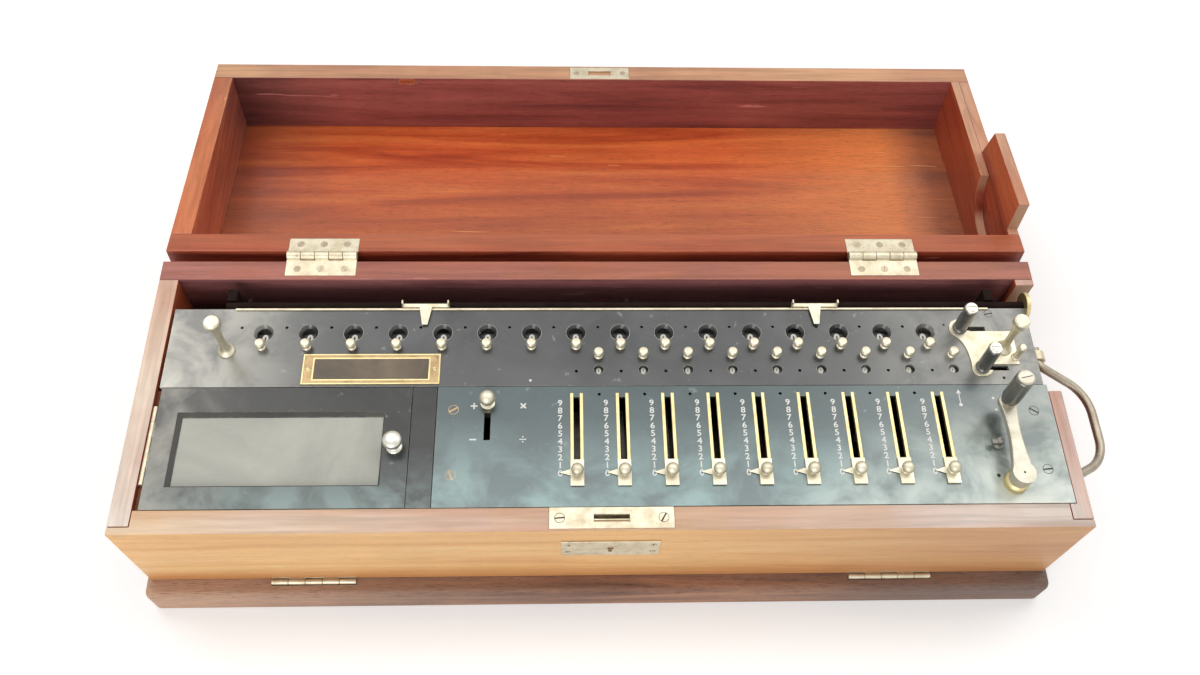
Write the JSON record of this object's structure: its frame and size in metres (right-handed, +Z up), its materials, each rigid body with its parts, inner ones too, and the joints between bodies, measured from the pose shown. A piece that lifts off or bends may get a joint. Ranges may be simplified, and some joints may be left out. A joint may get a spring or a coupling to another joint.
{
  "type": "stepped drum calculator",
  "caption": "Hand-cranked stepped drum calculating machine with sliders, dials and shifting carriage, built into a hinged wooden case with its lid open.",
  "frame": {"origin": "middle of the case, on the underside of the base board", "axes": "+X to the operator's right along the case, +Y away from the operator towards the lid's hinges, +Z up"},
  "size_m": [0.6542, 0.4116, 0.1588],
  "materials": {
    "base_wood": "worn dark stain",
    "case_wood": "varnished mahogany",
    "tray_wood": "plain, oiled",
    "black_plate": "satin black, worn",
    "pale_brass": "tarnished, satin",
    "yellow_brass": "satin",
    "nickel": "nickel plate over brass, worn",
    "steel": "machined",
    "ebonite": "black, semi-gloss",
    "slate": "matt grey slate"
  },
  "bodies": {
    "case": {"base_board": "base_wood", "case_walls": "case_wood", "case_hardware": "pale_brass", "accessory_tray": "tray_wood", "setting_plate": "black_plate", "plate_fittings": "yellow_brass", "mechanism_frame": "steel", "stepped_drums": "steel"},
    "lid": {"lid_boards": "case_wood", "lid_hardware": "pale_brass"},
    "drop_front": {"front_flap": "case_wood", "flap_hardware": "pale_brass"},
    "accessory_lid": {"tray_lid": "black_plate", "slate_panel": "slate"},
    "bail_right": {"right_bail": "yellow_brass"},
    "bail_left": {"left_bail": "yellow_brass"},
    "crank_body": {"crank": "nickel"},
    "grip": {"crank_grip": "ebonite"},
    "reversing": {"reversing_lever": "nickel"},
    "rod": {"carriage_rod": "steel"},
    "carriage": {"carriage_plate": "black_plate", "carriage_trim": "nickel"},
    "clear_result": {"clearing_lever_result": "black_plate"},
    "clear_counter": {"clearing_lever_counter": "black_plate"},
    "marker_left": {"decimal_marker_left": "nickel"},
    "marker_right": {"decimal_marker_right": "nickel"},
    "b_slider_1": {"slider_1": "nickel"},
    "b_slider_2": {"slider_2": "nickel"},
    "b_slider_3": {"slider_3": "nickel"},
    "b_slider_4": {"slider_4": "nickel"},
    "b_slider_5": {"slider_5": "nickel"},
    "b_slider_6": {"slider_6": "nickel"},
    "b_slider_7": {"slider_7": "nickel"},
    "b_slider_8": {"slider_8": "nickel"},
    "b_slider_9": {"slider_9": "nickel"},
    "b_result_dial_01": {"result_dial_01": "nickel"},
    "b_result_dial_02": {"result_dial_02": "nickel"},
    "b_result_dial_03": {"result_dial_03": "nickel"},
    "b_result_dial_04": {"result_dial_04": "nickel"},
    "b_result_dial_05": {"result_dial_05": "nickel"},
    "b_result_dial_06": {"result_dial_06": "nickel"},
    "b_result_dial_07": {"result_dial_07": "nickel"},
    "b_result_dial_08": {"result_dial_08": "nickel"},
    "b_result_dial_09": {"result_dial_09": "nickel"},
    "b_result_dial_10": {"result_dial_10": "nickel"},
    "b_result_dial_11": {"result_dial_11": "nickel"},
    "b_result_dial_12": {"result_dial_12": "nickel"},
    "b_result_dial_13": {"result_dial_13": "nickel"},
    "b_result_dial_14": {"result_dial_14": "nickel"},
    "b_result_dial_15": {"result_dial_15": "nickel"},
    "b_result_dial_16": {"result_dial_16": "nickel"},
    "b_counter_dial_1": {"counter_dial_1": "nickel"},
    "b_counter_dial_2": {"counter_dial_2": "nickel"},
    "b_counter_dial_3": {"counter_dial_3": "nickel"},
    "b_counter_dial_4": {"counter_dial_4": "nickel"},
    "b_counter_dial_5": {"counter_dial_5": "nickel"},
    "b_counter_dial_6": {"counter_dial_6": "nickel"},
    "b_counter_dial_7": {"counter_dial_7": "nickel"},
    "b_counter_dial_8": {"counter_dial_8": "nickel"},
    "b_counter_dial_9": {"counter_dial_9": "nickel"}
  },
  "joints": [
    {"name": "lid_hinge", "type": "hinge", "parent": "case", "child": "lid", "pos_m": [0, 0.1024, 0.11015], "axis": [-1, 0, 0], "range_deg": [-186.35, 0]},
    {"name": "drop_front_hinge", "type": "hinge", "parent": "case", "child": "drop_front", "pos_m": [0, -0.1002, 0.0242], "axis": [1, 0, 0], "range_deg": [0, 90]},
    {"name": "accessory_lid_hinge", "type": "hinge", "parent": "case", "child": "accessory_lid", "pos_m": [-0.2851, 0, 0.1084], "axis": [0, -1, 0], "range_deg": [0, 95]},
    {"name": "right_bail_pivot", "type": "hinge", "parent": "case", "child": "bail_right", "pos_m": [0.3065, -0.01, 0.075], "axis": [0, -1, 0], "range_deg": [-76.4, 103.6]},
    {"name": "left_bail_pivot", "type": "hinge", "parent": "case", "child": "bail_left", "pos_m": [-0.3065, -0.01, 0.075], "axis": [0, 1, 0], "range_deg": [0, 175]},
    {"name": "crank_turn", "type": "hinge", "parent": "case", "child": "crank_body", "pos_m": [0.2555, -0.0685, 0.11], "axis": [0, 0, 1], "continuous": true},
    {"name": "grip_spin", "type": "hinge", "parent": "crank_body", "child": "grip", "pos_m": [0.2555, -0.0195, 0.1263], "axis": [0, 0, 1], "continuous": true},
    {"name": "reversing_slide", "type": "slide", "parent": "case", "child": "reversing", "axis": [0, 1, 0], "range_m": [-0.0225, 0]},
    {"name": "carriage_lift", "type": "hinge", "parent": "case", "child": "rod", "pos_m": [0, 0.063, 0.107], "axis": [-1, 0, 0], "range_deg": [0, 75]},
    {"name": "carriage_shift", "type": "slide", "parent": "rod", "child": "carriage", "axis": [1, 0, 0], "range_m": [0, 0.23536]},
    {"name": "clear_result_slide", "type": "slide", "parent": "carriage", "child": "clear_result", "axis": [1, 0, 0], "range_m": [0, 0.016], "stiffness_N_per_m": 120, "springref_m": -0.004},
    {"name": "clear_counter_slide", "type": "slide", "parent": "carriage", "child": "clear_counter", "axis": [1, 0, 0], "range_m": [0, 0.016], "stiffness_N_per_m": 120, "springref_m": -0.004},
    {"name": "marker_left_slide", "type": "slide", "parent": "carriage", "child": "marker_left", "axis": [1, 0, 0], "range_m": [-0.1, 0.1]},
    {"name": "marker_right_slide", "type": "slide", "parent": "carriage", "child": "marker_right", "axis": [1, 0, 0], "range_m": [-0.1, 0.085]},
    {"name": "slider_1_slide", "type": "slide", "parent": "case", "child": "b_slider_1", "axis": [0, 1, 0], "range_m": [0, 0.0487]},
    {"name": "slider_2_slide", "type": "slide", "parent": "case", "child": "b_slider_2", "axis": [0, 1, 0], "range_m": [0, 0.0487]},
    {"name": "slider_3_slide", "type": "slide", "parent": "case", "child": "b_slider_3", "axis": [0, 1, 0], "range_m": [0, 0.0487]},
    {"name": "slider_4_slide", "type": "slide", "parent": "case", "child": "b_slider_4", "axis": [0, 1, 0], "range_m": [0, 0.0487]},
    {"name": "slider_5_slide", "type": "slide", "parent": "case", "child": "b_slider_5", "axis": [0, 1, 0], "range_m": [0, 0.0487]},
    {"name": "slider_6_slide", "type": "slide", "parent": "case", "child": "b_slider_6", "axis": [0, 1, 0], "range_m": [0, 0.0487]},
    {"name": "slider_7_slide", "type": "slide", "parent": "case", "child": "b_slider_7", "axis": [0, 1, 0], "range_m": [0, 0.0487]},
    {"name": "slider_8_slide", "type": "slide", "parent": "case", "child": "b_slider_8", "axis": [0, 1, 0], "range_m": [0, 0.0487]},
    {"name": "slider_9_slide", "type": "slide", "parent": "case", "child": "b_slider_9", "axis": [0, 1, 0], "range_m": [0, 0.0487]},
    {"name": "result_dial_01_spin", "type": "hinge", "parent": "carriage", "child": "b_result_dial_01", "pos_m": [-0.2244, 0.03, 0.11], "axis": [0, 0, 1], "continuous": true},
    {"name": "result_dial_02_spin", "type": "hinge", "parent": "carriage", "child": "b_result_dial_02", "pos_m": [-0.19498, 0.03, 0.11], "axis": [0, 0, 1], "continuous": true},
    {"name": "result_dial_03_spin", "type": "hinge", "parent": "carriage", "child": "b_result_dial_03", "pos_m": [-0.16556, 0.03, 0.11], "axis": [0, 0, 1], "continuous": true},
    {"name": "result_dial_04_spin", "type": "hinge", "parent": "carriage", "child": "b_result_dial_04", "pos_m": [-0.13614, 0.03, 0.11], "axis": [0, 0, 1], "continuous": true},
    {"name": "result_dial_05_spin", "type": "hinge", "parent": "carriage", "child": "b_result_dial_05", "pos_m": [-0.10672, 0.03, 0.11], "axis": [0, 0, 1], "continuous": true},
    {"name": "result_dial_06_spin", "type": "hinge", "parent": "carriage", "child": "b_result_dial_06", "pos_m": [-0.0773, 0.03, 0.11], "axis": [0, 0, 1], "continuous": true},
    {"name": "result_dial_07_spin", "type": "hinge", "parent": "carriage", "child": "b_result_dial_07", "pos_m": [-0.04788, 0.03, 0.11], "axis": [0, 0, 1], "continuous": true},
    {"name": "result_dial_08_spin", "type": "hinge", "parent": "carriage", "child": "b_result_dial_08", "pos_m": [-0.01846, 0.03, 0.11], "axis": [0, 0, 1], "continuous": true},
    {"name": "result_dial_09_spin", "type": "hinge", "parent": "carriage", "child": "b_result_dial_09", "pos_m": [0.01096, 0.03, 0.11], "axis": [0, 0, 1], "continuous": true},
    {"name": "result_dial_10_spin", "type": "hinge", "parent": "carriage", "child": "b_result_dial_10", "pos_m": [0.04038, 0.03, 0.11], "axis": [0, 0, 1], "continuous": true},
    {"name": "result_dial_11_spin", "type": "hinge", "parent": "carriage", "child": "b_result_dial_11", "pos_m": [0.0698, 0.03, 0.11], "axis": [0, 0, 1], "continuous": true},
    {"name": "result_dial_12_spin", "type": "hinge", "parent": "carriage", "child": "b_result_dial_12", "pos_m": [0.09922, 0.03, 0.11], "axis": [0, 0, 1], "continuous": true},
    {"name": "result_dial_13_spin", "type": "hinge", "parent": "carriage", "child": "b_result_dial_13", "pos_m": [0.12864, 0.03, 0.11], "axis": [0, 0, 1], "continuous": true},
    {"name": "result_dial_14_spin", "type": "hinge", "parent": "carriage", "child": "b_result_dial_14", "pos_m": [0.15806, 0.03, 0.11], "axis": [0, 0, 1], "continuous": true},
    {"name": "result_dial_15_spin", "type": "hinge", "parent": "carriage", "child": "b_result_dial_15", "pos_m": [0.18748, 0.03, 0.11], "axis": [0, 0, 1], "continuous": true},
    {"name": "result_dial_16_spin", "type": "hinge", "parent": "carriage", "child": "b_result_dial_16", "pos_m": [0.2169, 0.03, 0.11], "axis": [0, 0, 1], "continuous": true},
    {"name": "counter_dial_1_spin", "type": "hinge", "parent": "carriage", "child": "b_counter_dial_1", "pos_m": [-0.00375, 0.023, 0.11], "axis": [0, 0, 1], "continuous": true},
    {"name": "counter_dial_2_spin", "type": "hinge", "parent": "carriage", "child": "b_counter_dial_2", "pos_m": [0.02567, 0.023, 0.11], "axis": [0, 0, 1], "continuous": true},
    {"name": "counter_dial_3_spin", "type": "hinge", "parent": "carriage", "child": "b_counter_dial_3", "pos_m": [0.05509, 0.023, 0.11], "axis": [0, 0, 1], "continuous": true},
    {"name": "counter_dial_4_spin", "type": "hinge", "parent": "carriage", "child": "b_counter_dial_4", "pos_m": [0.08451, 0.023, 0.11], "axis": [0, 0, 1], "continuous": true},
    {"name": "counter_dial_5_spin", "type": "hinge", "parent": "carriage", "child": "b_counter_dial_5", "pos_m": [0.11393, 0.023, 0.11], "axis": [0, 0, 1], "continuous": true},
    {"name": "counter_dial_6_spin", "type": "hinge", "parent": "carriage", "child": "b_counter_dial_6", "pos_m": [0.14335, 0.023, 0.11], "axis": [0, 0, 1], "continuous": true},
    {"name": "counter_dial_7_spin", "type": "hinge", "parent": "carriage", "child": "b_counter_dial_7", "pos_m": [0.17277, 0.023, 0.11], "axis": [0, 0, 1], "continuous": true},
    {"name": "counter_dial_8_spin", "type": "hinge", "parent": "carriage", "child": "b_counter_dial_8", "pos_m": [0.20219, 0.023, 0.11], "axis": [0, 0, 1], "continuous": true},
    {"name": "counter_dial_9_spin", "type": "hinge", "parent": "carriage", "child": "b_counter_dial_9", "pos_m": [0.23161, 0.023, 0.11], "axis": [0, 0, 1], "continuous": true}
  ]
}
